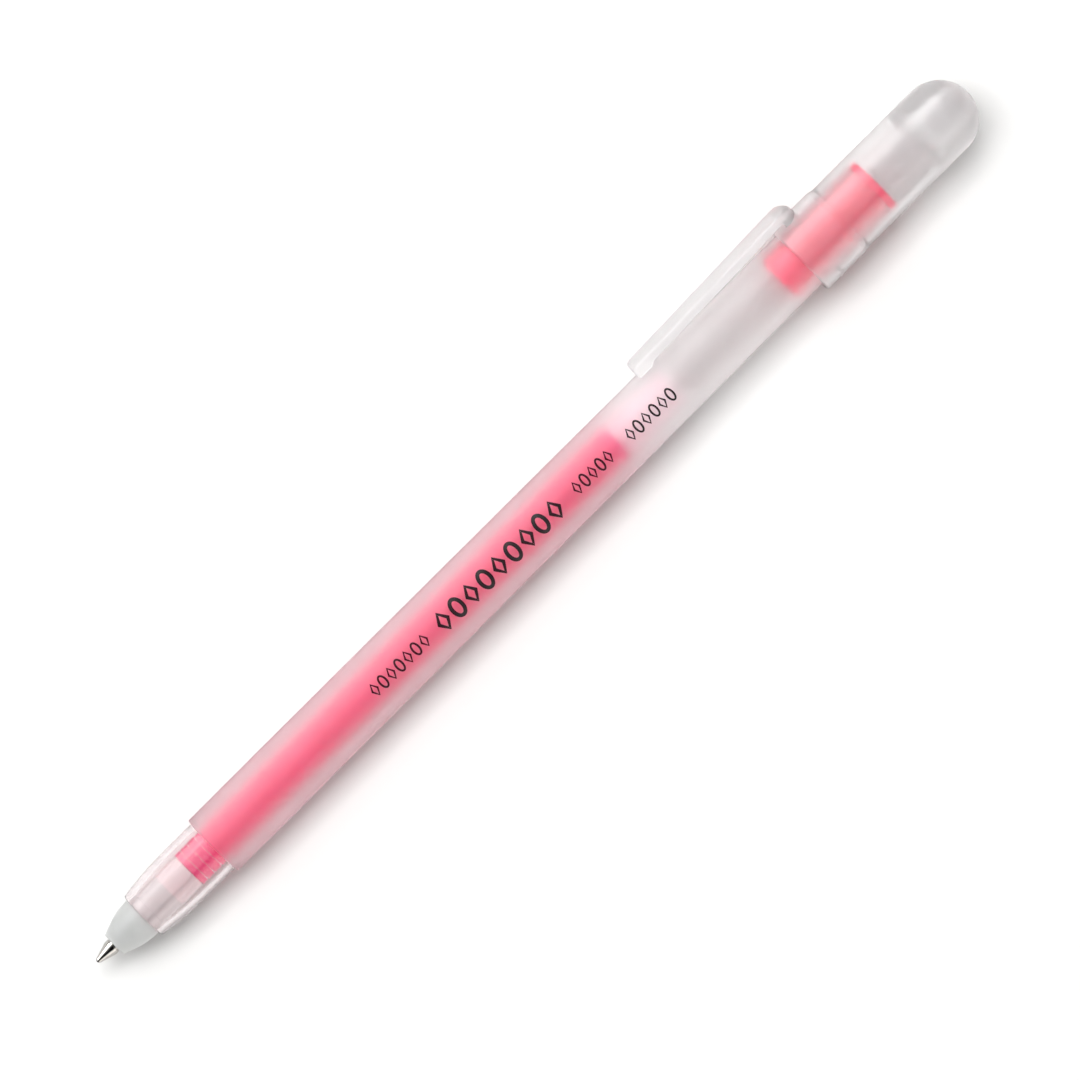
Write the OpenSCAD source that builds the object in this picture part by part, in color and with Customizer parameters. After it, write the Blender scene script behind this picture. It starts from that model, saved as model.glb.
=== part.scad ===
// Capped gel pen, with the cap posted on the tail.
// The pen lies along X with its ball towards -X, its cap towards +X and its clip on the +Y side.
// Stations are distances in millimetres behind the front of the ball.

/* [Metal point] */
// Diameter of the writing ball
ball_d = 0.7; // [0.5:0.1:0.8]
// How far the ball stands out of its socket
ball_proud = 0.18; // [0.12:0.01:0.18]
// Radius of the point's straight part
point_r = 1.02; // [0.95:0.01:1.1]
// Station where the point's cone ends
point_cone_end = 2.4; // [2.2:0.1:3]
// Station of the point's rear end, inside the holder
point_end = 7.4; // [6.5:0.1:8]

/* [Tip holder] */
// Station of the nose cone's front face
nose_front = 3.1; // [3:0.1:3.5]
// Radius of the nose cone's front face, before its edge is rounded
nose_front_r = 1.75; // [1.6:0.05:1.9]
// Radius of the nose cone's base
nose_base_r = 2.87; // [2.8:0.01:3]
// Radius of the holder's body, behind the nose cone
holder_r = 2.6; // [2.4:0.05:2.6]
// Station of the holder's rear shoulder, where the tube starts
holder_end = 16.6; // [15:0.1:18]
// Length of the barbed spigot that the tube is pushed over
spigot_len = 4.8; // [4.5:0.1:6]

/* [Ink tube] */
// Outer radius of the tube
tube_r = 2.6; // [2.4:0.05:2.6]
// Thickness of the tube's wall
tube_wall = 0.4; // [0.3:0.05:0.5]
// Station of the tube's rear end
tube_end = 105; // [95:1:115]
// Station of the ink's rear end
ink_end = 93.8; // [60:0.2:94]
// Length of the grease plug behind the ink
follower_len = 10; // [6:0.5:10]

/* [Barrel] */
// Station of the barrel's mouth
barrel_front = 8.3; // [8.2:0.1:8.6]
// Station of the barrel's rear edge
barrel_end = 139.2; // [135:0.2:145]
// Station of the shoulder between the clear neck and the frosted part
shoulder = 20.9; // [19:0.1:22]
// Outer radius at the mouth
mouth_r = 3.5; // [3.4:0.05:3.6]
// Outer radius of the clear neck
neck_r = 4; // [3.9:0.05:4.1]
// Outer radius of the frosted part at its front
barrel_r = 4.5; // [4.4:0.05:4.5]
// Outer radius of the frosted part at its tail
tail_r = 4.2; // [4.1:0.02:4.2]
// Length of the straight part behind the shoulder that the cap grips
grip_len = 13; // [10:0.5:20]
// Radius of the bore at the mouth, which holds the refill
mouth_bore_r = 2.66; // [2.66:0.01:2.7]
// Radius of the bore in the neck
neck_bore_r = 3.2; // [3:0.05:3.3]
// Radius of the bore in the tail, which holds the plug
tail_bore_r = 3.46; // [3.4:0.02:3.5]

/* [Tail plug] */
// Length of the plug inside the barrel
plug_len = 16.5; // [10:0.5:20]
// Radius of the plug's flange
plug_flange_r = 3.9; // [3.7:0.05:4]
// Thickness of the plug's flange
plug_flange_t = 1.05; // [0.8:0.05:1.2]
// Thickness of the plug's wall
plug_wall = 1; // [0.8:0.1:1.5]

/* [Cap] */
// Length of the cap
cap_len = 30.4; // [30.4:0.2:32]
// How much of the barrel's tail the posted cap covers
cap_overlap = 12.8; // [11:0.1:12.8]
// Outer radius of the thicker band at the cap's mouth
cap_band_r = 5.29; // [5.25:0.01:5.4]
// Length of that band
cap_band_len = 7.6; // [7:0.1:8]
// Outer radius of the cap's dome
cap_dome_r = 5.1; // [5:0.05:5.15]
// Radius of the bore at the cap's mouth, which grips the barrel's front
cap_mouth_bore_r = 4.54; // [4.52:0.01:4.55]
// Radius of the cap's main bore, which grips the barrel's tail
cap_bore_r = 4.24; // [4.22:0.01:4.3]
// Distance from the mouth to the funnel that seals on the nose cone
funnel_start = 21; // [20.5:0.1:21.2]
// Length of the funnel
funnel_len = 2.7; // [2.5:0.1:3]
// Radius of the bore that closes round the metal point
seal_bore_r = 1.8; // [1.7:0.05:1.9]
// Depth of that bore's end, measured from the mouth
seal_bore_end = 28.9; // [28.8:0.1:29]

/* [Clip] */
// Length of the clip's leaf in front of its root
clip_len = 27; // [20:0.5:30]
// Width of the clip
clip_w = 4.2; // [3.5:0.1:4.5]
// Thickness of the leaf
clip_t = 1.28; // [1:0.02:1.3]
// Distance from the pen's axis to the leaf's outer face at the root
clip_root_r = 6.8; // [6.75:0.01:7]
// How much closer to the axis the leaf's free end is
clip_fall = 0.8; // [0.5:0.05:0.85]
// Distance from the cap's mouth to the clip's root
clip_root = 2; // [1.8:0.1:3]
// Turn of the clip about the axis, up from the side
clip_roll = 18.5; // [10:0.5:30]

/* [Hidden] */
$fn = 96;

running_gap = 0.02;
press_gap = 0.01;
eps = 0.01;

ball_r = ball_d / 2;
ink_r = tube_r - tube_wall - press_gap;
spigot_end = holder_end + spigot_len;
channel_r = 0.85;
ink_front = point_end + 0.1;
cap_mouth = barrel_end - cap_overlap;
cap_end = cap_mouth + cap_len;
clip_knuckle_r = clip_t / 2;
clip_root_station = cap_mouth + clip_root;
clip_reach_y = clip_root_r * cos(clip_roll) + clip_w / 2 * sin(clip_roll);
axis_y = (cap_band_r - clip_reach_y) / 2;
axis_z = cap_band_r;

// Points on an arc round [cx, cy], from angle a0 to angle a1
function arc(cx, cy, r, a0, a1, n = 8) =
    [for (i = [0:n]) [cx + r * cos(a0 + (a1 - a0) * i / n), cy + r * sin(a0 + (a1 - a0) * i / n)]];

// Points on a curve that leaves [r0, x0] and flattens out to run straight at [r1, x1]
function ogive(r0, x0, r1, x1, n = 10) =
    let (run = x1 - x0, rise = r1 - r0, big = (run * run + rise * rise) / (2 * rise))
    [for (i = [0:n]) let (x = x0 + run * i / n) [r1 - big + sqrt(big * big - (x1 - x) * (x1 - x)), x]];

// Draws along the pen's axis: a child's z becomes its station
module along_pen() {
    translate([-cap_end / 2, axis_y, axis_z])
        rotate([0, 90, 0])
            children();
}

// A solid turned about the pen's axis, from points given as [radius, station]
module turned(points) {
    along_pen()
        rotate_extrude()
            polygon(points);
}

// Draws the side view of a clip part, with children given as [station, radius], across a width
module across_clip(width) {
    along_pen()
        rotate([0, 0, clip_roll])
            translate([width / 2, 0, 0])
                rotate([0, -90, 0])
                    linear_extrude(width)
                        children();
}

module barrel() {
    mouth_corner = 0.35;
    shoulder_corner = 0.35;
    tail_corner = 0.15;
    ogive_end = shoulder - 5.6;
    lip_end = barrel_front + 1.3;
    color([0.96, 0.8, 0.83, 0.6])
        turned(concat(
            arc(mouth_r - mouth_corner, barrel_front + mouth_corner, mouth_corner, -90, -10, 5),
            ogive(mouth_r, barrel_front + mouth_corner, neck_r, ogive_end),
            [[neck_r, shoulder]],
            arc(barrel_r - shoulder_corner, shoulder + shoulder_corner, shoulder_corner, -90, 0, 5),
            [
                [barrel_r, shoulder + grip_len],
                [tail_r, barrel_end - tail_corner],
                [tail_r - tail_corner, barrel_end],
                [tail_bore_r, barrel_end],
                [tail_bore_r, barrel_end - plug_len - 1],
                [tail_bore_r - 0.06, shoulder + 1],
                [neck_bore_r, shoulder - 1],
                [neck_bore_r, lip_end + 0.3],
                [mouth_bore_r, lip_end],
                [mouth_bore_r, barrel_front]
            ]
        ));
}

module tail_plug() {
    body_r = tail_bore_r - running_gap;
    front = barrel_end - plug_len;
    flange_front = barrel_end + running_gap;
    flange_end = flange_front + plug_flange_t;
    nose_corner = 0.9;
    flange_corner = 0.2;
    vent_r = 0.4;
    color([0.94, 0.47, 0.55, 0.85])
        turned(concat(
            [[vent_r, front]],
            arc(body_r - nose_corner, front + nose_corner, nose_corner, -90, 0, 6),
            [
                [body_r, flange_front],
                [plug_flange_r, flange_front],
                [plug_flange_r, flange_end - flange_corner],
                [plug_flange_r - flange_corner, flange_end],
                [body_r - plug_wall, flange_end],
                [body_r - plug_wall, front + plug_wall + 0.3],
                [body_r - plug_wall - 0.3, front + plug_wall],
                [vent_r, front + plug_wall]
            ]
        ));
}

// The cap's shell, with the boss that carries the clip
module cap() {
    lip = 0.3;
    band_step = 0.06;
    bore_step = 0.3;
    dome_start = cap_end - cap_dome_r;
    funnel = cap_mouth + funnel_start;
    seal_end = cap_mouth + seal_bore_end;
    boss_corner = 1.5;
    boss_front = clip_root_station;
    boss_end = clip_root_station + 2;
    boss_base = cap_mouth_bore_r + 0.2;
    knuckle_y = clip_root_r - clip_knuckle_r;
    color([0.9, 0.9, 0.91, 0.45])
        difference() {
            union() {
                turned(concat(
                    arc(cap_band_r - lip, cap_mouth + lip, lip, -90, 0, 5),
                    [
                        [cap_band_r, cap_mouth + cap_band_len - band_step],
                        [cap_band_r - band_step, cap_mouth + cap_band_len]
                    ],
                    arc(0, dome_start, cap_dome_r, 0, 90, 24),
                    [
                        [0, seal_end],
                        [seal_bore_r - lip, seal_end],
                        [seal_bore_r, seal_end - lip],
                        [seal_bore_r, funnel + funnel_len],
                        [cap_bore_r, funnel],
                        [cap_bore_r, cap_mouth + cap_band_len],
                        [cap_mouth_bore_r, cap_mouth + cap_band_len - bore_step],
                        [cap_mouth_bore_r, cap_mouth + lip],
                        [cap_mouth_bore_r + lip / 2, cap_mouth]
                    ]
                ));
                across_clip(clip_w)
                    polygon(concat(
                        [[boss_front, boss_base], [boss_end, boss_base]],
                        arc(boss_end - boss_corner, clip_root_r - boss_corner, boss_corner, 0, 90, 6),
                        [[boss_front, clip_root_r]]
                    ));
            }
            across_clip(clip_w + 2 * eps)
                translate([clip_root_station, knuckle_y])
                    circle(clip_knuckle_r + running_gap);
        }
}

// The leaf, with a round root that turns in the cap's boss and a pad that rests on the barrel
module clip() {
    knuckle_y = clip_root_r - clip_knuckle_r;
    free_end = clip_root_station - clip_len;
    end_outer = clip_root_r - clip_fall;
    end_inner = end_outer - clip_t;
    end_corner = 0.6;
    pad_len = 2.2;
    pad_y = barrel_r - (barrel_r - tail_r) * (free_end - shoulder - grip_len) / (barrel_end - shoulder - grip_len);
    pad_gap = 0.03;
    color([0.9, 0.9, 0.91, 0.45])
        across_clip(clip_w)
            union() {
                polygon(concat(
                    [[clip_root_station, clip_root_r - clip_t], [clip_root_station, clip_root_r]],
                    arc(free_end + end_corner, end_outer - end_corner, end_corner, 90, 180, 6),
                    [
                        [free_end, pad_y + pad_gap],
                        [free_end + pad_len, pad_y + pad_gap],
                        [free_end + pad_len + 0.6, end_inner]
                    ]
                ));
                translate([clip_root_station, knuckle_y])
                    circle(clip_knuckle_r);
            }
}

module tip_holder() {
    front_corner = 0.35;
    collar_r = mouth_bore_r - 0.03;
    collar_end = barrel_front + 1.3;
    step = holder_end - 3.7;
    barb_crest = tube_r - tube_wall - press_gap;
    barb_root = barb_crest - 0.3;
    barb_pitch = 1.2;
    barbs = 3;
    color([0.88, 0.88, 0.88])
        turned(concat(
            [[point_r + press_gap, nose_front]],
            arc(nose_front_r - front_corner, nose_front + front_corner, front_corner, -90, 0, 4),
            ogive(nose_front_r + 0.05, nose_front + front_corner + 0.1, nose_base_r, barrel_front - 0.15),
            [
                [nose_base_r, barrel_front - running_gap],
                [collar_r, barrel_front - running_gap],
                [collar_r, collar_end],
                [holder_r - 0.05, collar_end],
                [holder_r - 0.05, step],
                [holder_r, step],
                [holder_r, holder_end],
                [barb_root, holder_end]
            ],
            [for (i = [0:barbs - 1], p = [0:2])
                let (x = holder_end + 0.9 + i * barb_pitch)
                p == 0 ? [barb_root, x] : p == 1 ? [barb_crest, x] : [barb_root, x + barb_pitch * 0.8]],
            [
                [barb_root, spigot_end - 0.3],
                [barb_root - 0.3, spigot_end],
                [channel_r, spigot_end],
                [channel_r, point_end],
                [point_r + press_gap, point_end]
            ]
        ));
}

module tip_point() {
    socket_r = ball_r + running_gap;
    rim = ball_proud;
    rim_r = sqrt(socket_r * socket_r - (ball_r - rim) * (ball_r - rim)) + 0.03;
    feed_r = 0.15;
    feed_end = 1.6;
    back_bore_r = 0.6;
    socket_back = acos(feed_r / socket_r);
    socket_front = asin((rim - ball_r) / socket_r);
    color([0.72, 0.71, 0.7])
        turned(concat(
            [
                [rim_r, rim],
                [point_r, point_cone_end],
                [point_r, point_end - 0.2],
                [point_r - 0.2, point_end],
                [back_bore_r, point_end],
                [back_bore_r, feed_end + 0.6],
                [feed_r, feed_end]
            ],
            arc(0, ball_r, socket_r, socket_back, socket_front, 10)
        ));
}

module ball() {
    color([0.45, 0.45, 0.47])
        along_pen()
            translate([0, 0, ball_r])
                sphere(ball_r);
}

module ink_tube() {
    bore_r = tube_r - tube_wall;
    edge = 0.1;
    color([0.95, 0.75, 0.79, 0.5])
        turned([
            [bore_r, holder_end + running_gap],
            [tube_r - edge, holder_end + running_gap],
            [tube_r, holder_end + running_gap + edge],
            [tube_r, tube_end - edge],
            [tube_r - edge, tube_end],
            [bore_r, tube_end]
        ]);
}

// The gel from the metal point's back, through the holder's bore, to the grease plug
module ink() {
    thread_r = channel_r - press_gap;
    color([0.93, 0.33, 0.49])
        turned([
            [0, ink_front],
            [thread_r, ink_front],
            [thread_r, spigot_end + running_gap],
            [ink_r, spigot_end + running_gap],
            [ink_r, ink_end],
            [0, ink_end]
        ]);
}

module follower() {
    front = ink_end + running_gap;
    dish = 0.6;
    color([0.97, 0.75, 0.8])
        turned(concat(
            [[0, front], [ink_r, front], [ink_r, front + follower_len]],
            [for (i = [1:6]) [ink_r * cos(90 * i / 6), front + follower_len - dish * sin(90 * i / 6)]]
        ));
}

barrel();
tail_plug();
cap();
clip();
tip_holder();
tip_point();
ball();
ink_tube();
ink();
follower();
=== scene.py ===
"""Looks of a capped gel pen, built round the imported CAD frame.

The pen lies along X with its ball towards -X and its cap posted on the tail. Outlines are lists of
(station, radius, fillet) in millimetres, where a station is the distance behind the front of the ball.
"""

import math

import bmesh
import bpy
from mathutils import Matrix, Vector


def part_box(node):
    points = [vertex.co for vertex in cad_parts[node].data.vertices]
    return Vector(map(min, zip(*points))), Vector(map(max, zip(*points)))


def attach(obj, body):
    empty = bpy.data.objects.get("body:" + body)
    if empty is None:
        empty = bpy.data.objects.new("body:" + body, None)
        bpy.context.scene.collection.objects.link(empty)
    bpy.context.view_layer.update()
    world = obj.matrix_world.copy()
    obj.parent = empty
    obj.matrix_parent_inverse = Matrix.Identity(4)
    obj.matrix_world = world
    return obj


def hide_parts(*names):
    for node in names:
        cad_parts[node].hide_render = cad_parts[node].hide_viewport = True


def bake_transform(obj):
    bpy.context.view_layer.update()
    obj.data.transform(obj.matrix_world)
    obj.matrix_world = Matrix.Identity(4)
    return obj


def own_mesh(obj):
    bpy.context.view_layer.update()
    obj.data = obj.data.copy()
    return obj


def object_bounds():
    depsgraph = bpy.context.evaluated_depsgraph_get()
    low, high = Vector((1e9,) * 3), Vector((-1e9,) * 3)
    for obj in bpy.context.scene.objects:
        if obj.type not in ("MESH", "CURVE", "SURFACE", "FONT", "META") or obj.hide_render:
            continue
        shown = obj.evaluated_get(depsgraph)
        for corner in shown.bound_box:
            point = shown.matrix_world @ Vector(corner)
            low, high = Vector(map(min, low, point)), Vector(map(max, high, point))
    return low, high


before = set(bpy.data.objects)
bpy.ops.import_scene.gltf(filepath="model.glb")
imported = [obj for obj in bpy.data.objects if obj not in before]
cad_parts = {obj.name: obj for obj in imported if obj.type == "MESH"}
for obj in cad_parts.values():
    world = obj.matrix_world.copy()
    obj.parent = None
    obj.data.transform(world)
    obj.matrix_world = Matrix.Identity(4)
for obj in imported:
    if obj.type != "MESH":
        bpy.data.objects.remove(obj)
cad_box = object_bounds()

MM = 0.001
ON_AXIS = 1e-6
TIP_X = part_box("ball")[0].x
AXIS = (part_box("barrel")[0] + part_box("barrel")[1]) / 2


def station(x):
    """Distance behind the front of the ball, in millimetres, of a place x in the frame."""
    return (x - TIP_X) / MM


def ends(node):
    """Stations of a CAD node's front and rear."""
    lo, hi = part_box(node)
    return station(lo.x), station(hi.x)


def radius(node):
    """Radius of a turned CAD node, in millimetres, which fits inside its box above and below."""
    lo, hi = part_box(node)
    return min(hi.z - AXIS.z, AXIS.z - lo.z) / MM


# ---------------------------------------------------------------- main sizes, read from the frame
BARREL_FRONT, BARREL_END = ends("barrel")
CAP_MOUTH, CAP_END = ends("cap")
PLUG_FRONT, PLUG_END = ends("tail_plug")
NOSE_FRONT, SPIGOT_END = ends("tip_holder")
POINT_RIM, POINT_END = ends("tip_point")
TUBE_FRONT, TUBE_END = ends("ink_tube")
INK_FRONT, INK_END = ends("ink")
FOLLOWER_FRONT, FOLLOWER_END = ends("follower")
BARREL_R = radius("barrel")
CAP_R = radius("cap")
FLANGE_R = radius("tail_plug")
NOSE_R = radius("tip_holder")
TUBE_R = radius("ink_tube")
INK_R = radius("ink")
POINT_R = radius("tip_point")
BALL_R = radius("ball")

# ---------------------------------------------------------------- sizes the frame's boxes don't give
SHOULDER = BARREL_FRONT + 12.6
STRAIGHT_END = SHOULDER + 13.0
COLLAR_END = BARREL_FRONT + 1.3
HOLDER_STEP = TUBE_FRONT - 3.7
MOUTH_R, NECK_R, TAIL_R = 3.5, 4.0, 4.2
MOUTH_BORE_R, NECK_BORE_R, TAIL_BORE_R = 2.66, 3.2, 3.46
CHANNEL_R = 0.85
SPIGOT_ROOT_R = INK_R - 0.3
BARBS = [TUBE_FRONT + 0.9 + i * 1.2 for i in range(3)]
CAP_BAND_END = CAP_MOUTH + 7.6
CAP_MOUTH_BORE_R, CAP_BORE_R, CAP_DOME_R = 4.54, 4.24, 5.1
FUNNEL, FUNNEL_LEN = CAP_MOUTH + 21.0, 2.7
SEAL_R, SEAL_END = 1.8, CAP_MOUTH + 28.9
CLIP_ROOT, CLIP_ROOT_R = CAP_MOUTH + 2.0, 6.8
CLIP_LEN, CLIP_W, CLIP_T, CLIP_FALL = 27.0, 4.2, 1.28, 0.8
CLIP_ROLL = math.radians(18.5)
CLIP_OUT = Vector((0, math.cos(CLIP_ROLL), math.sin(CLIP_ROLL)))
CLIP_ACROSS = Vector((0, -math.sin(CLIP_ROLL), math.cos(CLIP_ROLL)))
# Gel and grease wet the tube's wall, so they are drawn a hair wider than its bore, with no gap of air.
WET_R = INK_R + 0.03
TURNS = 192
PLASTIC_IOR = 1.49
# Noise seldom leaves this range, so colours and values are spread over it.
NOISE_LOW, NOISE_HIGH = 0.3, 0.7


# ---------------------------------------------------------------- outlines
def rounded(corners, steps=6, closed=True):
    """An outline with every corner turned into an arc of its own fillet radius, and a close point on each
    side of the arc so that smooth shading stays flat on the straight runs."""
    points = []
    count = len(corners)
    for i, (x, r, fillet) in enumerate(corners):
        here = Vector((x, r))
        if not closed and i in (0, count - 1):
            points.append(here)
            continue
        before = Vector(corners[i - 1][:2])
        after = Vector(corners[(i + 1) % count][:2])
        into, out = (here - before).normalized(), (after - here).normalized()
        turn = math.atan2(into.x * out.y - into.y * out.x, into.dot(out))
        if fillet <= 0 or abs(turn) < 1e-4:
            points.append(here)
            continue
        room = 0.46 * min((here - before).length, (after - here).length)
        trim = min(fillet * math.tan(abs(turn) / 2), room)
        size = trim / math.tan(abs(turn) / 2)
        start = here - into * trim
        centre = start + Vector((-into.y, into.x)) * math.copysign(size, turn)
        support = min(0.35 * room, 0.06)
        points.append(start - into * support)
        points.extend(swung(start, centre, turn * k / steps) for k in range(steps + 1))
        points.append(here + out * (trim + support))
    return points


def swung(point, centre, angle):
    """A point turned about a centre."""
    arm = point - centre
    c, s = math.cos(angle), math.sin(angle)
    return centre + Vector((arm.x * c - arm.y * s, arm.x * s + arm.y * c))


def ogive(x0, r0, x1, r1, n=14):
    """Points of an arc that leaves (x0, r0) and runs straight at (x1, r1)."""
    run, rise = x1 - x0, r1 - r0
    big = (run * run + rise * rise) / (2 * rise)
    left = [run * (n - i) / n for i in range(n + 1)]
    return [(x1 - d, r1 - big + math.sqrt(big**2 - d**2), 0) for d in left]


def quarter_ellipse(centre, r, reach, n):
    """Points from the side, at radius r, to the pen's axis. The last is reach behind the centre station."""
    angles = [math.pi / 2 * i / n for i in range(n + 1)]
    return [(centre + reach * math.sin(a), r * math.cos(a), 0) for a in angles]


def flat_between(points, longest):
    """Adds points along long straight runs, so that no face is much longer than it is wide. A run along the
    axis makes no face and stays as it is."""
    filled = []
    for (x0, r0), (x1, r1) in zip(points, points[1:]):
        n = 1 if max(r0, r1) < ON_AXIS else max(1, math.ceil(math.hypot(x1 - x0, r1 - r0) / longest))
        filled.extend((x0 + (x1 - x0) * i / n, r0 + (r1 - r0) * i / n) for i in range(n))
    filled.append(tuple(points[-1]))
    return filled


def closed_outline(corners, longest):
    """A closed outline with its corners rounded and its long straight runs filled in."""
    points = rounded(corners)
    return flat_between(points + points[:1], longest)[:-1]


def barrel_radius(x):
    """Outer radius of the frosted barrel at a station."""
    share = max(0.0, (x - STRAIGHT_END) / (BARREL_END - STRAIGHT_END))
    return BARREL_R - (BARREL_R - TAIL_R) * share


# ---------------------------------------------------------------- meshes
def to_frame(x, r, angle):
    """The place at a station and radius, turned by an angle from straight up towards +Y."""
    return Vector((TIP_X + x * MM, AXIS.y + r * MM * math.sin(angle), AXIS.z + r * MM * math.cos(angle)))


def skin(a, a_count, b, b_count):
    """Faces between two loops of points that start at a and b. A loop of one point is a pole, and there is
    nothing between two poles."""
    count = max(a_count, b_count)
    faces = []
    for k in range(count if count > 1 else 0):
        n = (k + 1) % count
        corners = (a + k % a_count, a + n % a_count, b + n % b_count, b + k % b_count)
        faces.append(tuple(dict.fromkeys(corners)))
    return faces


def finish_mesh(name, verts, faces, smooth_angle=40):
    """A new object from points and faces, with outward normals and smooth shading."""
    mesh = bpy.data.meshes.new(name)
    mesh.from_pydata(verts, [], faces)
    bm = bmesh.new()
    bm.from_mesh(mesh)
    bmesh.ops.remove_doubles(bm, verts=bm.verts, dist=1e-7)
    bmesh.ops.recalc_face_normals(bm, faces=bm.faces)
    bm.to_mesh(mesh)
    bm.free()
    mesh.shade_smooth()
    mesh.set_sharp_from_angle(angle=math.radians(smooth_angle))
    piece = bpy.data.objects.new(name, mesh)
    bpy.context.scene.collection.objects.link(piece)
    return piece


def turned(name, outline, turns=TURNS):
    """A solid turned about the pen's axis. Points of the outline on the axis become single poles. The
    outline is a closed ring, unless it starts and ends on the axis."""
    verts, rings = [], []
    for x, r in (p[:2] for p in outline):
        count = 1 if r < ON_AXIS else turns
        rings.append((len(verts), count))
        verts.extend(to_frame(x, r, 2 * math.pi * k / turns) for k in range(count))
    if max(rings[0][1], rings[-1][1]) > 1:
        rings.append(rings[0])
    faces = []
    for (a, a_count), (b, b_count) in zip(rings, rings[1:]):
        faces += skin(a, a_count, b, b_count)
    return finish_mesh(name, verts, faces)


def paint(piece, materials, zone):
    """Gives each face a material by its station and its distance from the pen's axis."""
    for material in materials:
        piece.data.materials.append(material)
    for face in piece.data.polygons:
        c = face.center
        r = math.hypot(c.y - AXIS.y, c.z - AXIS.z) / MM
        face.material_index = zone(station(c.x), r)


# ---------------------------------------------------------------- nodes
def wire(node, **inputs):
    """Sets a node's sockets by name, with _ for a space. Another node's socket is linked, not copied."""
    for key, value in inputs.items():
        socket = node.inputs[key.replace("_", " ")]
        if isinstance(value, bpy.types.NodeSocket):
            node.id_data.links.new(value, socket)
        else:
            socket.default_value = value


def add(tree, kind, settings=None, **inputs):
    """A new node in a tree, with its settings and its inputs."""
    node = tree.nodes.new(kind)
    for key, value in (settings or {}).items():
        setattr(node, key, value)
    wire(node, **inputs)
    return node


def new_material(name):
    """A material, its node tree and its Principled node."""
    material = bpy.data.materials.new(name)
    material.use_nodes = True
    tree = material.node_tree
    shader = next(n for n in tree.nodes if n.type == "BSDF_PRINCIPLED")
    return material, tree, shader


def noise_colour(tree, low, high, scale, stretch=(1, 1, 1)):
    """A colour that wanders between two close ones, and the coordinates of the piece that it wanders
    over."""
    whole = add(tree, "ShaderNodeTexCoord")
    place = add(tree, "ShaderNodeMapping", Vector=whole.outputs["Object"], Scale=stretch).outputs["Vector"]
    noise = add(tree, "ShaderNodeTexNoise", Vector=place, Scale=scale, Detail=3.0)
    ramp = add(tree, "ShaderNodeValToRGB", Fac=noise.outputs["Fac"])
    first, last = ramp.color_ramp.elements
    first.position, last.position = NOISE_LOW, NOISE_HIGH
    first.color, last.color = (*low, 1), (*high, 1)
    return ramp.outputs["Color"], place


def noise_value(tree, place, low, high, scale):
    """A number that wanders between two values."""
    noise = add(tree, "ShaderNodeTexNoise", Vector=place, Scale=scale, Detail=2.0)
    spread = add(tree, "ShaderNodeMapRange", Value=noise.outputs["Fac"],
                 From_Min=NOISE_LOW, From_Max=NOISE_HIGH, To_Min=low, To_Max=high)
    return spread.outputs["Result"]


def noise_bump(tree, place, scale, strength, distance):
    """A fine surface texture."""
    noise = add(tree, "ShaderNodeTexNoise", Vector=place, Scale=scale, Detail=4.0)
    bump = add(tree, "ShaderNodeBump", Height=noise.outputs["Fac"], Strength=strength, Distance=distance)
    return bump.outputs["Normal"]


def change_behind_ink(tree, front, rear):
    """The painted pink glow of the ink where the ink is inside, and the plastic's own colour where the barrel
    has none inside, with a smooth change between them."""
    start_x, end_x = to_frame(INK_END - 5, 0, 0).x, to_frame(INK_END + 8, 0, 0).x
    whole = add(tree, "ShaderNodeTexCoord")
    split = add(tree, "ShaderNodeSeparateXYZ", Vector=whole.outputs["Object"])
    along = add(tree, "ShaderNodeMapRange", {"interpolation_type": "SMOOTHSTEP"}, Value=split.outputs["X"],
                From_Min=start_x, From_Max=end_x)
    fade = add(tree, "ShaderNodeMix", {"data_type": "RGBA"}, Factor=along.outputs["Result"])
    # A Mix node's sockets share their names, so its colour sockets are found by their type.
    start, end = [socket for socket in fade.inputs if socket.type == "RGBA"]
    tree.links.new(front, start)
    tree.links.new(rear, end)
    return next(socket for socket in fade.outputs if socket.type == "RGBA")


# ---------------------------------------------------------------- kinds of material
def see_through(name, low, high, rough, transmission, rear=None, spread=0.15):
    """Moulded or extruded plastic that light passes, with faint cloudiness and a mottled finish. Where rear
    is given, low and high over the ink are a painted pink glow, which stands for the ink's light scattered in
    the wall, and rear is the plastic's own pair of colours that it turns to behind the ink. spread is how far
    the roughness wanders, as a share of itself."""
    material, tree, shader = new_material(name)
    colour, place = noise_colour(tree, low, high, scale=420)
    if rear:
        colour = change_behind_ink(tree, colour, noise_colour(tree, *rear, scale=420)[0])
    dull = noise_value(tree, place, rough * (1 - spread), rough * (1 + spread), scale=1600)
    wire(shader, Base_Color=colour, Roughness=dull, Transmission_Weight=transmission, IOR=PLASTIC_IOR)
    return material


def solid_plastic(name, low, high, rough, glow=0.0, glow_radius=(1, 1, 1), coat=0.0, bump=0.02):
    """Opaque or milky plastic. glow is the share of the light that scatters under the skin, and glow_radius
    how far its red, green and blue go, in millimetres."""
    material, tree, shader = new_material(name)
    colour, place = noise_colour(tree, low, high, scale=350)
    dull = noise_value(tree, place, rough * 0.85, rough * 1.15, scale=600)
    grain = noise_bump(tree, place, 5000, bump, 0.02 * MM)
    wire(shader, Base_Color=colour, Roughness=dull, Normal=grain)
    wire(shader, Subsurface_Weight=glow, Subsurface_Radius=glow_radius, Subsurface_Scale=MM)
    wire(shader, Coat_Weight=coat, Coat_Roughness=0.08)
    return material


def turned_metal(name, low, high, rough):
    """Polished metal with fine rings from the lathe."""
    material, tree, shader = new_material(name)
    colour, place = noise_colour(tree, low, high, scale=900, stretch=(14, 0.4, 0.4))
    dull = noise_value(tree, place, rough * 0.7, rough * 1.4, scale=1500)
    rings = noise_bump(tree, place, 2600, 0.05, 0.004 * MM)
    wire(shader, Base_Color=colour, Roughness=dull, Normal=rings)
    wire(shader, Metallic=1.0, Specular_Tint=(0.25, 0.24, 0.23, 1))
    return material
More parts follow.
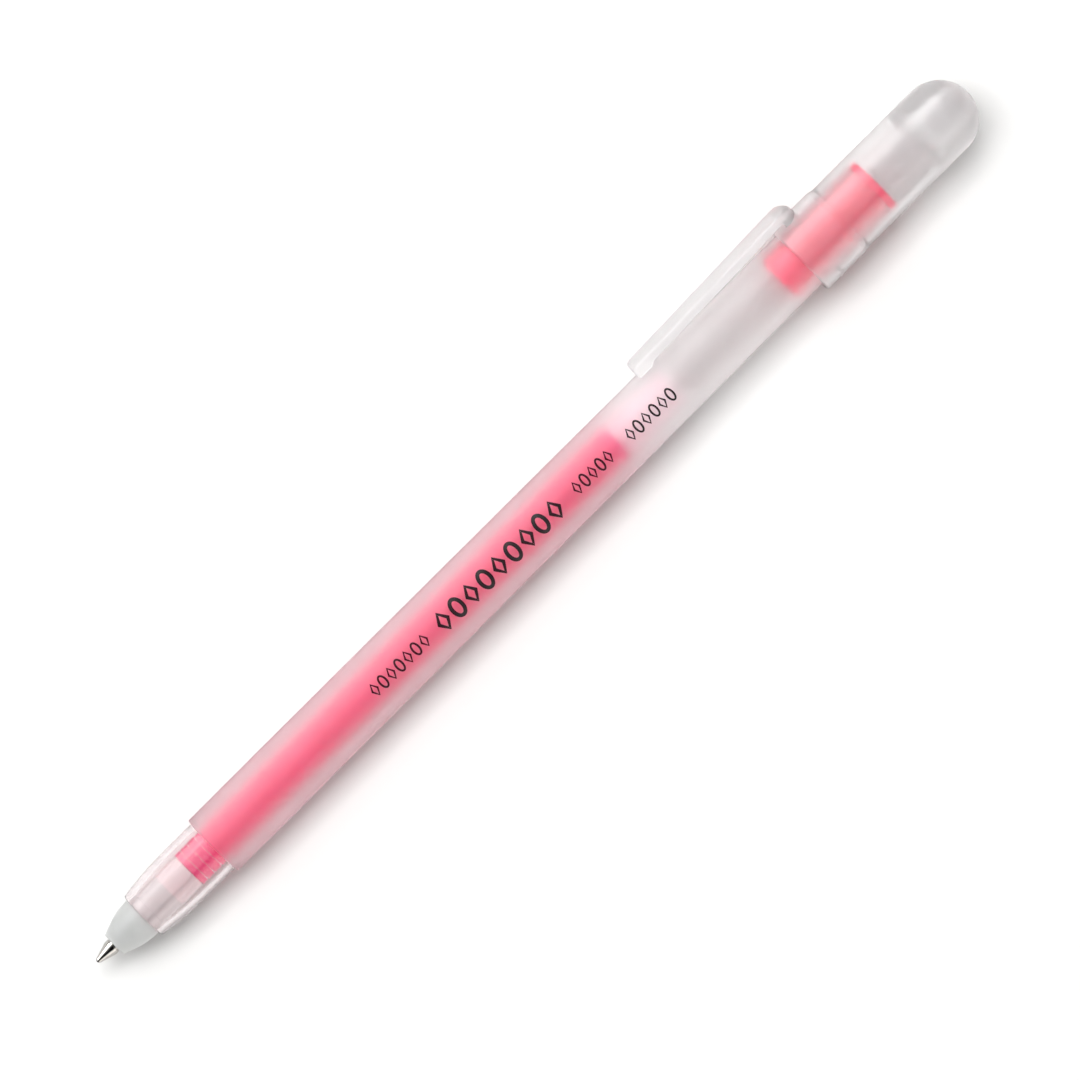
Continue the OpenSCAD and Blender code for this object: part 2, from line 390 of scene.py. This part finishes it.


# ---------------------------------------------------------------- materials
# Over the ink, the barrel's skin and bore are painted pink: a painted glow of the ink's light scattered in
# the frosted wall. It fades to the plastic's own tint behind the ink's end, and it does not follow the
# follower.
FROSTED = see_through("frosted_skin_painted_ink_glow", (0.875, 0.68, 0.715), (0.895, 0.715, 0.75), 0.56, 1.0,
                      rear=((0.955, 0.93, 0.935), (0.975, 0.955, 0.96)))
BORE = see_through("moulded_bore_painted_ink_glow", (0.945, 0.83, 0.85), (0.96, 0.86, 0.88), 0.40, 1.0,
                   rear=((0.96, 0.94, 0.945), (0.975, 0.955, 0.96)))
NECK = see_through("clear_neck", (0.925, 0.86, 0.87), (0.945, 0.88, 0.89), 0.13, 0.985)
CAP_SKIN = see_through("cap_skin", (0.94, 0.925, 0.93), (0.96, 0.945, 0.95), 0.287, 0.985, spread=0.03)
CAP_DOME = see_through("cap_dome", (0.94, 0.925, 0.93), (0.96, 0.945, 0.95), 0.30, 0.90, spread=0.06)
CAP_BORE = see_through("cap_bore", (0.955, 0.94, 0.945), (0.975, 0.96, 0.965), 0.14, 0.99)
CAP_SEAL = see_through("cap_seal", (0.80, 0.79, 0.795), (0.82, 0.81, 0.815), 0.70, 0.70)
CLIP_SKIN = see_through("clip_skin", (0.86, 0.845, 0.85), (0.90, 0.885, 0.89), 0.36, 0.70)
TUBE = see_through("tube_skin", (0.985, 0.975, 0.975), (0.995, 0.99, 0.99), 0.05, 0.99)
CORAL = solid_plastic("coral_moulding", (0.975, 0.058, 0.148), (0.985, 0.072, 0.168), 0.35, glow=0.35,
                      glow_radius=(1.6, 0.5, 0.5), coat=0.2)
NOSE = solid_plastic("nose_skin", (0.55, 0.56, 0.555), (0.60, 0.61, 0.605), 0.48, glow=0.6,
                     glow_radius=(1.2, 1.2, 1.1))
COLLAR = solid_plastic("collar_skin", (0.62, 0.61, 0.61), (0.66, 0.65, 0.65), 0.20, glow=0.5,
                       glow_radius=(1.5, 1.2, 1.2), coat=1.0)
# The stem is the collar's white plastic painted pink: a painted glow of the ink's light scattered into it
# from the tube.
STEM_PAINTED_INK_GLOW = solid_plastic("stem_painted_ink_glow", (0.74, 0.65, 0.66), (0.78, 0.69, 0.70), 0.20, glow=0.5,
                     glow_radius=(1.8, 1.2, 1.2), coat=1.0)
GEL = solid_plastic("pink_gel", (0.99, 0.044, 0.31), (0.998, 0.058, 0.34), 0.36, bump=0.0)
GREASE = solid_plastic("grease_plug", (0.95, 0.78, 0.83), (0.97, 0.83, 0.87), 0.35, glow=0.3,
                       glow_radius=(1.0, 0.8, 0.8), bump=0.0)
STEEL = turned_metal("tip_metal", (0.52, 0.50, 0.47), (0.64, 0.62, 0.59), 0.10)
CARBIDE = turned_metal("ball_metal", (0.035, 0.032, 0.034), (0.06, 0.055, 0.058), 0.16)
BLACK = solid_plastic("black_print", (0.006, 0.006, 0.007), (0.014, 0.013, 0.014), 0.42, bump=0.05)


# ---------------------------------------------------------------- barrel and tail plug
def make_barrel():
    """One moulding: a frosted body that narrows to the tail, and a clear neck in front of the shoulder."""
    outer = [(BARREL_FRONT, MOUTH_BORE_R, 0.12), (BARREL_FRONT, MOUTH_R - 0.05, 0.35)]
    outer += ogive(BARREL_FRONT + 0.4, MOUTH_R, SHOULDER - 5.6, NECK_R)
    outer += [
        (SHOULDER, NECK_R, 0.12),
        (SHOULDER, BARREL_R, 0.38),
        (STRAIGHT_END, BARREL_R, 0),
        (BARREL_END, TAIL_R, 0.15),
        (BARREL_END, TAIL_BORE_R, 0.08),
    ]
    inner = [
        (PLUG_FRONT - 1, TAIL_BORE_R, 0),
        (SHOULDER + 1, TAIL_BORE_R - 0.06, 0.5),
        (SHOULDER - 1, NECK_BORE_R, 0.5),
    ]
    inner += reversed(ogive(COLLAR_END, MOUTH_BORE_R, SHOULDER - 4, NECK_BORE_R))
    piece = turned("barrel_moulding", closed_outline(outer + inner, 2.0))
    paint(piece, [FROSTED, BORE, NECK], barrel_zone)
    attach(piece, "barrel")
    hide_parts("barrel")


def barrel_zone(x, r):
    """The neck is clear, and behind it the outside is frosted and the bore isn't."""
    frosted, bore, neck = 0, 1, 2
    if x < SHOULDER + 0.005:
        return neck
    return frosted if r > TAIL_BORE_R + 0.05 else bore


def make_tail_plug():
    """A thimble pressed into the tail, closed in front but for its vent, with a flange behind."""
    body_r = TAIL_BORE_R - 0.02
    flange = BARREL_END + 0.02
    wall = 1.0
    vent_r = 0.4
    outline = rounded([
        (PLUG_FRONT, vent_r, 0.1),
        (PLUG_FRONT, body_r, 0.9),
        (flange, body_r, 0.05),
        (flange, FLANGE_R, 0.15),
        (PLUG_END, FLANGE_R, 0.25),
        (PLUG_END, body_r - wall, 0.2),
        (PLUG_FRONT + wall, body_r - wall, 0.5),
        (PLUG_FRONT + wall, vent_r, 0.1),
    ])
    piece = turned("tail_plug_moulding", outline)
    piece.data.materials.append(CORAL)
    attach(piece, "barrel")
    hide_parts("tail_plug")


# ---------------------------------------------------------------- cap and clip
def bead(x, bore_r):
    """A fine raised ring round a bore, from its rear foot to its front foot."""
    half, height = 0.22, 0.07
    return [(x + half, bore_r, 0.1), (x, bore_r - height, 0.15), (x - half, bore_r, 0.1)]


def cap_corners():
    """The cap's turned body: a band at the mouth, a long dome, and a funnel and seal bore inside."""
    outer = [
        (CAP_MOUTH, CAP_MOUTH_BORE_R + 0.05, 0.15),
        (CAP_MOUTH, CAP_R, 0.34),
        (CAP_BAND_END - 0.9, CAP_R, 0.8),
        (CAP_BAND_END - 0.1, CAP_DOME_R, 0.8),
    ]
    outer += quarter_ellipse(CAP_END - CAP_DOME_R, CAP_DOME_R, CAP_DOME_R, 40)
    inner = [
        (SEAL_END, 0, 0),
        (SEAL_END, SEAL_R, 0.5),
        (FUNNEL + FUNNEL_LEN, SEAL_R, 1.2),
        (FUNNEL, CAP_BORE_R, 1.0),
        (CAP_BAND_END + 3, CAP_BORE_R, 2),
    ]
    inner += bead(CAP_BAND_END, CAP_MOUTH_BORE_R - 0.1) + bead(CAP_MOUTH + 2.9, CAP_MOUTH_BORE_R)
    inner.append((CAP_MOUTH + 2, CAP_MOUTH_BORE_R, 0.2))
    return outer + inner


def cap_zone(x, r):
    """The bore is polished, its funnel and seal are dull, the dome is cloudy, and the rest of the outside
    and the clip have a faintly hazy skin."""
    cap_skin, bore, clip, seal, cloudy = 0, 1, 2, 3, 4
    funnel_r = CAP_BORE_R + (SEAL_R - CAP_BORE_R) * (x - FUNNEL) / FUNNEL_LEN
    if FUNNEL - 0.2 < x < SEAL_END + 0.02 and r < max(funnel_r, SEAL_R) + 0.2:
        return seal
    if x <= FUNNEL and r < CAP_MOUTH_BORE_R + 0.04:
        return bore
    if r > CAP_R + 0.05:
        return clip
    return cloudy if x > FUNNEL - 1 else cap_skin


def clip_outline():
    """The clip's side view, as stations and heights above the pen's axis. Its root runs into the cap's
    wall."""
    free_end = CLIP_ROOT - CLIP_LEN
    end_outer = CLIP_ROOT_R - CLIP_FALL
    pad_r = barrel_radius(free_end) + 0.03
    root_end = CLIP_ROOT + 2.0
    root_front = CLIP_ROOT - 0.3
    wall_r = CAP_MOUTH_BORE_R + 0.22
    return rounded([
        (free_end, pad_r, 0.32),
        (free_end, end_outer, 0.75),
        (CLIP_ROOT, CLIP_ROOT_R, 2.0),
        (root_end - 0.25, CLIP_ROOT_R - 0.1, 1.3),
        (root_end, wall_r, 0),
        (root_front, wall_r, 0),
        (root_front, CLIP_ROOT_R - CLIP_T, 0.6),
        (free_end + 2.8, end_outer - CLIP_T + 0.05, 0.5),
        (free_end + 2.2, pad_r, 0.35),
    ], steps=8)


def clip_layers():
    """Layers across the clip: how far each draws its outline in, and its place. The outer ones round the
    edges."""
    edge, steps = 0.3, 16
    flat = CLIP_W / 2 - edge
    angles = [math.radians(a) for a in (90, 70, 50, 30, 12, 0)]
    arc = [(edge * (1 - math.cos(a)), edge * math.sin(a)) for a in angles]
    layers = [(inset, -flat - rise) for inset, rise in arc]
    layers += [(0, flat * (2 * i / steps - 1)) for i in range(1, steps)]
    layers += [(inset, flat + rise) for inset, rise in reversed(arc)]
    return layers


def inward_normals(outline):
    """The directions into a closed outline at each of its points."""
    count = len(outline)
    centre = sum(outline, Vector((0, 0))) / count
    normals = []
    for i in range(count):
        tangent = (outline[(i + 1) % count] - outline[i - 1]).normalized()
        normals.append(Vector((-tangent.y, tangent.x)))
    if sum(n.dot(centre - p) for n, p in zip(normals, outline)) < 0:
        normals = [-n for n in normals]
    return normals


def clip_leaf():
    """The clip's side view drawn across its width. Seen from above, its root ends in a half round."""
    outline = clip_outline()
    normals = inward_normals(outline)
    count = len(outline)
    layers = clip_layers()
    # Just under a full half round, so that the root keeps a little length at the clip's sides.
    roundness = 0.96
    verts = []
    for inset, across in layers:
        reach = math.sqrt(1 - roundness * (across / (CLIP_W / 2)) ** 2)
        for p, n in zip(outline, normals):
            q = p + n * inset
            x = min(q.x, CLIP_ROOT) + max(0, q.x - CLIP_ROOT) * reach
            verts.append(to_frame(x, 0, 0) + (CLIP_OUT * q.y + CLIP_ACROSS * across) * MM)
    faces = [tuple(range(count)), tuple(range(len(verts) - count, len(verts)))]
    for layer in range(len(layers) - 1):
        faces += skin(layer * count, count, (layer + 1) * count, count)
    return finish_mesh("clip_leaf", verts, faces)


def join_solids(piece, other, smooth_angle):
    """Makes one solid of two, in the first one's object."""
    union = piece.modifiers.new("join", "BOOLEAN")
    union.operation, union.solver, union.object = "UNION", "EXACT", other
    bpy.context.view_layer.update()
    merged = bpy.data.meshes.new_from_object(piece.evaluated_get(bpy.context.evaluated_depsgraph_get()))
    piece.modifiers.clear()
    piece.data = merged
    bpy.data.objects.remove(other)
    merged.shade_smooth()
    merged.set_sharp_from_angle(angle=math.radians(smooth_angle))
    merged.materials.clear()


def make_cap():
    """The cap and its clip in one moulding. The clip's leaf curves down into the cap's wall at its root."""
    cap = turned("cap_moulding", closed_outline(cap_corners(), 1.2))
    join_solids(cap, clip_leaf(), 32)
    paint(cap, [CAP_SKIN, CAP_BORE, CLIP_SKIN, CAP_SEAL, CAP_DOME], cap_zone)
    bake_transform(cap)
    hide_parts("cap", "clip")


# ---------------------------------------------------------------- refill
def make_tip_holder():
    """The milky nose cone, the collar in the barrel's mouth, the body, and the barbed spigot in the
    tube."""
    nose_front_r = 1.8
    collar_r = MOUTH_BORE_R - 0.03
    stem_r = TUBE_R - 0.05
    barb_len = 0.96
    nose_end = BARREL_FRONT - 0.02
    spigot = TUBE_FRONT - 0.02
    corners = [(NOSE_FRONT, POINT_R + 0.01, 0.04), (NOSE_FRONT, nose_front_r - 0.08, 0.35)]
    corners += ogive(NOSE_FRONT + 0.45, nose_front_r, BARREL_FRONT - 0.15, NOSE_R)
    corners += [
        (nose_end, NOSE_R, 0.06),
        (nose_end, collar_r, 0.03),
        (COLLAR_END, collar_r, 0.1),
        (COLLAR_END, stem_r, 0.02),
        (HOLDER_STEP, stem_r, 0.02),
        (HOLDER_STEP, TUBE_R, 0.02),
        (spigot, TUBE_R, 0.08),
        (spigot, SPIGOT_ROOT_R, 0.05),
    ]
    for x in BARBS:
        corners += [(x, SPIGOT_ROOT_R, 0.03), (x, INK_R, 0.04), (x + barb_len, SPIGOT_ROOT_R, 0.05)]
    corners += [
        (SPIGOT_END, SPIGOT_ROOT_R, 0.3),
        (SPIGOT_END, CHANNEL_R, 0.05),
        (POINT_END, CHANNEL_R, 0.05),
        (POINT_END, POINT_R + 0.01, 0.02),
    ]
    piece = turned("nose_moulding", rounded(corners))
    paint(piece, [NOSE, COLLAR, STEM_PAINTED_INK_GLOW], holder_zone)
    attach(piece, "refill")
    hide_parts("tip_holder")


def holder_zone(x, r):
    """The nose cone is in the open, and the collar and the stem are seen through the neck. The stem, beside
    the ink, is painted with a pink glow of the ink's light.
    """
    nose, collar, stem = 0, 1, 2
    if x < BARREL_FRONT:
        return nose
    return collar if x < HOLDER_STEP else stem


def make_tip_point():
    """The metal point: a cone that closes round the ball, a straight shank and a fine turned groove."""
    socket_r = BALL_R + 0.02
    rim_open = math.sqrt(socket_r**2 - (BALL_R - POINT_RIM) ** 2)
    cone_end = 2.4
    feed_r, feed_end, back_r = 0.15, 1.6, 0.6
    groove, groove_end, groove_depth = NOSE_FRONT - 0.22, NOSE_FRONT - 0.03, 0.06
    front = math.asin((POINT_RIM - BALL_R) / socket_r)
    back = math.acos(feed_r / socket_r)
    angles = [back + (front - back) * i / 12 for i in range(13)]
    corners = [(BALL_R + socket_r * math.sin(a), socket_r * math.cos(a), 0) for a in angles]
    corners += [
        (POINT_RIM, rim_open + 0.03, 0.012),
        (cone_end, POINT_R, 0.12),
        (groove, POINT_R, 0.03),
        (groove + 0.05, POINT_R - groove_depth, 0.03),
        (groove_end - 0.05, POINT_R - groove_depth, 0.03),
        (groove_end, POINT_R, 0.03),
        (POINT_END, POINT_R, 0.15),
        (POINT_END, back_r, 0.05),
        (feed_end + 0.6, back_r, 0.1),
        (feed_end, feed_r, 0.05),
    ]
    piece = turned("metal_point", rounded(corners))
    piece.data.materials.append(STEEL)
    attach(piece, "refill")
    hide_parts("tip_point")


def make_ball():
    """The writing ball, turned about the pen's axis at rest."""
    count = 32
    angles = [math.pi * i / count for i in range(count + 1)]
    outline = [(BALL_R - BALL_R * math.cos(a), BALL_R * math.sin(a)) for a in angles]
    piece = turned("writing_ball", outline, turns=64)
    piece.data.materials.append(CARBIDE)
    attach(piece, "ball")
    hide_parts("ball")


def make_tube():
    """The clear tube, pushed over the holder's spigot."""
    bore_r = INK_R + 0.01
    corners = [
        (TUBE_FRONT, bore_r, 0.08),
        (TUBE_FRONT, TUBE_R, 0.08),
        (TUBE_END, TUBE_R, 0.12),
        (TUBE_END, bore_r, 0.08),
    ]
    piece = turned("clear_tube", closed_outline(corners, 3.0))
    piece.data.materials.append(TUBE)
    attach(piece, "refill")
    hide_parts("ink_tube")


def ring_round_spigot(rear):
    """The gel squeezed between the spigot and the tube, with a groove where each barb bites the tube's
    wall."""
    front = TUBE_FRONT + 0.05
    inner_r, dry_r = SPIGOT_ROOT_R + 0.02, INK_R - 0.03
    half = 0.05
    corners = [(front, inner_r, 0.02), (front, WET_R, 0.05)]
    for barb in BARBS:
        corners += [
            (barb - half, WET_R, 0.02),
            (barb - half, dry_r, 0.02),
            (barb + half, dry_r, 0.02),
            (barb + half, WET_R, 0.02),
        ]
    return rounded(corners + [(rear, WET_R, 0.02), (rear, inner_r, 0.02)])


def rod(front, rear, r, front_fillet, rear_fillet):
    """Outline of a solid rod."""
    corners = [(front, 0, 0), (front, r, front_fillet), (rear, r, rear_fillet), (rear, 0, 0)]
    return rounded(corners, closed=False)


def make_ink():
    """The column of gel, which in the pen shortens as the grease plug follows it, and the gel round and in
    the spigot, which stays. Here the column is drawn at one length, with a mesh of its own."""
    column_front = SPIGOT_END + 0.02
    thread_end = column_front + 0.02
    column = turned("ink_column", flat_between(rod(column_front, INK_END, WET_R, 0.05, 0.25), 4.0))
    ring = turned("ink_round_spigot", ring_round_spigot(column_front + 0.1))
    thread = turned("ink_thread", rod(INK_FRONT, thread_end, CHANNEL_R - 0.02, 0.1, 0.02))
    for piece in (column, ring, thread):
        piece.data.materials.append(GEL)
        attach(piece, "refill")
    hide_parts("ink")
    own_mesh(column)


def make_follower():
    """The grease plug, with a dished rear face where it wets the wall."""
    dish = 0.6
    corners = [(FOLLOWER_FRONT, 0, 0), (FOLLOWER_FRONT, WET_R, 0.2)]
    corners += quarter_ellipse(FOLLOWER_END, WET_R, -dish, 10)
    piece = turned("grease_plug", rounded(corners, closed=False))
    piece.data.materials.append(GREASE)
    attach(piece, "follower")
    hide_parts("follower")


# ---------------------------------------------------------------- print on the barrel
PRINT_ANGLE = math.radians(-7)
# Each row of marks: its first and last station, their number, height and stroke, and their share of the pitch
PRINT_ROWS = [
    (48.9, 59.2, 7, 2.0, 0.27, 0.80),
    (85.2, 92.2, 5, 2.0, 0.27, 0.80),
    (94.8, 103.4, 6, 2.0, 0.27, 0.80),
    (60.7, 83.2, 9, 3.0, 0.52, 0.82),
]


def outlined_mark(cx, width, height, stroke, power):
    """An outlined mark as its outer and inner loops of (station, distance round the barrel). A power of 1
    gives a lozenge, and 2 an ellipse."""
    loops = []
    for inset in (0, stroke):
        loop = []
        for i in range(32):
            a = math.pi / 16 * i
            c, s = math.cos(a), math.sin(a)
            swell = (abs(c) ** power + abs(s) ** power) ** (-1 / power)
            loop.append((cx + (width / 2 - inset) * swell * c, (height / 2 - inset) * swell * s))
        loops.append(loop)
    return loops


def print_marks():
    """Every printed mark. They are plain ornaments, lozenges and ovals by turns."""
    marks = []
    for x0, x1, count, height, stroke, share in PRINT_ROWS:
        pitch = (x1 - x0) / count
        for i in range(count):
            marks.append(outlined_mark(x0 + pitch * (i + 0.5), pitch * share, height, stroke, 1.0 + i % 2))
    return marks


def make_print():
    """The marks as a film of ink, a hundredth of a millimetre thick, wrapped on the barrel."""
    under, top = 0.002, 0.012
    verts, faces = [], []
    for loops in print_marks():
        count = len(loops[0])
        starts = []
        for lift in (under, top):
            for loop in loops:
                starts.append(len(verts))
                for x, across in loop:
                    r = barrel_radius(x)
                    verts.append(to_frame(x, r + lift, PRINT_ANGLE + across / r))
        low_out, low_in, high_out, high_in = starts
        for a, b in ((low_out, low_in), (high_out, high_in), (low_out, high_out), (low_in, high_in)):
            faces += skin(a, count, b, count)
    piece = finish_mesh("barrel_print", verts, faces)
    piece.data.materials.append(BLACK)
    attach(piece, "barrel")


# ---------------------------------------------------------------- floor, light and camera
# Powers of the lamps in watts
KEY_POWER, GLOSS_POWER, TOP_POWER, FILL_POWER, TABLE_POWER = 1.8, 3.6, 3.8, 1.1, 6.4
SKY_STRENGTH = 0.48
# The sky's dark oval, in parts of a unit direction: its shift from straight up, half width and soft edge
OVAL_SHIFT, OVAL_HALF, OVAL_EDGE = 0.19, 0.36, 0.16
# The dark wall low behind the key lamp, measured from the oval's middle: its start and its soft edge
WALL_START, WALL_EDGE = 1.09, 0.06
DARK, PALE = (0.015, 0.015, 0.017, 1), (0.95, 0.95, 0.96, 1)


def make_floor():
    """A pale table. It is turned by under half a degree, so that the cap's band and the barrel's shoulder
    both rest on it, as the real pen does."""
    size = 3.0
    tilt = math.atan2((CAP_R - BARREL_R) * MM, (CAP_MOUTH - SHOULDER) * MM)
    bm = bmesh.new()
    bmesh.ops.create_grid(bm, x_segments=8, y_segments=8, size=size)
    mesh = bpy.data.meshes.new("table")
    bm.to_mesh(mesh)
    bm.free()
    table = bpy.data.objects.new("table", mesh)
    bpy.context.scene.collection.objects.link(table)
    pivot = to_frame(CAP_MOUTH + 0.4, 0, 0) - Vector((0, 0, (CAP_R + 0.02) * MM))
    table.matrix_world = Matrix.Translation(pivot) @ Matrix.Rotation(tilt, 4, "Y")
    material, tree, shader = new_material("table_top")
    colour, place = noise_colour(tree, (0.59, 0.59, 0.585), (0.61, 0.61, 0.605), scale=3)
    wire(shader, Base_Color=colour, Roughness=noise_value(tree, place, 0.75, 0.85, scale=5))
    wire(shader, Specular_IOR_Level=0.15)
    mesh.materials.append(material)
    return table


def softbox(name, direction, distance, width, height, power, colour=(1.0, 1.0, 1.0)):
    """A rectangular soft light that faces the middle of the pen from a direction."""
    lamp = bpy.data.lights.new(name, "AREA")
    lamp.shape, lamp.size, lamp.size_y = "RECTANGLE", width, height
    lamp.energy, lamp.color = power, colour
    holder = bpy.data.objects.new(name, lamp)
    bpy.context.scene.collection.objects.link(holder)
    away = Vector(direction).normalized()
    holder.location = (cad_box[0] + cad_box[1]) / 2 + away * distance
    holder.rotation_euler = away.to_track_quat("Z", "Y").to_euler()
    holder.visible_camera = False
    return holder


def make_light(table):
    """A long softbox above the clip's side, with a second one over it that only makes highlights, a broad
    one overhead that makes none, a dim reflector on the other side, and one that lights only the table."""
    softbox("key_box", (0, 0.755, 0.656), 0.5, 0.9, 0.46, KEY_POWER, (1.0, 0.995, 0.985))
    gloss = softbox("gloss_box", (0, 0.788, 0.616), 0.49, 0.9, 0.32, GLOSS_POWER)
    gloss.visible_diffuse = False
    gloss.visible_transmission = False
    top = softbox("top_box", (0, 0.05, 1), 0.85, 0.9, 0.9, TOP_POWER)
    top.visible_glossy = False
    softbox("reflector", (0, -0.9, 0.42), 0.5, 0.9, 0.34, FILL_POWER, (1.0, 0.965, 0.93))
    table_box = softbox("table_box", (0, 0.33, 0.94), 0.8, 0.9, 0.4, TABLE_POWER)
    only_table = bpy.data.collections.new("only_table")
    only_table.objects.link(table)
    table_box.light_linking.receiver_collection = only_table


def make_sky():
    """A pale studio with a dark oval nearly overhead and a dark wall low behind the key lamp, which
    polished parts reflect."""
    world = bpy.data.worlds.new("studio")
    bpy.context.scene.world = world
    world.use_nodes = True
    tree = world.node_tree
    # A ramp ends at 1, so the distance from the oval's middle is halved to reach the wall.
    half = 0.5
    whole = add(tree, "ShaderNodeTexCoord")
    spot = add(tree, "ShaderNodeMapping", Vector=whole.outputs["Generated"],
               Location=(0, OVAL_SHIFT * half, 0), Scale=(0.5 * half, half, 0))
    away = add(tree, "ShaderNodeVectorMath", {"operation": "LENGTH"}, Vector=spot.outputs["Vector"])
    ramp = add(tree, "ShaderNodeValToRGB", Fac=away.outputs["Value"])
    stops = ramp.color_ramp.elements
    stops.remove(stops[1])
    stops[0].position, stops[0].color = OVAL_HALF * half, DARK
    stops.new((OVAL_HALF + OVAL_EDGE) * half).color = PALE
    stops.new(WALL_START * half).color = PALE
    stops.new((WALL_START + WALL_EDGE) * half).color = DARK
    wire(tree.nodes["Background"], Color=ramp.outputs["Color"], Strength=SKY_STRENGTH)


def make_camera():
    """Looks straight down, turned so that the pen runs from lower left to upper right."""
    lens, sensor, frame_width = 360.0, 36.0, 0.1376
    aim = to_frame(77.9, 0, 0) - Vector((0, 1.9 * MM, 0))
    camera = bpy.data.cameras.new("camera")
    camera.lens, camera.sensor_width = lens, sensor
    camera.clip_start, camera.clip_end = 0.01, 20
    holder = bpy.data.objects.new("camera", camera)
    bpy.context.scene.collection.objects.link(holder)
    holder.location = aim + Vector((0, 0, frame_width * lens / sensor))
    holder.rotation_euler = (0, 0, math.radians(-45))
    bpy.context.scene.camera = holder


def set_light_paths():
    """Plain colour, and light paths deep enough for clear parts inside clear parts."""
    scene = bpy.context.scene
    scene.view_settings.view_transform = "Standard"
    scene.view_settings.exposure = 0.0
    scene.cycles.max_bounces = 32
    scene.cycles.transmission_bounces = 28
    scene.cycles.transparent_max_bounces = 16
    scene.cycles.diffuse_bounces = 6
    scene.cycles.glossy_bounces = 8
    scene.cycles.blur_glossy = 0.0


make_barrel()
make_tail_plug()
make_cap()
make_tip_holder()
make_tip_point()
make_ball()
make_tube()
make_ink()
make_follower()
make_print()
make_light(make_floor())
make_sky()
make_camera()
set_light_paths()
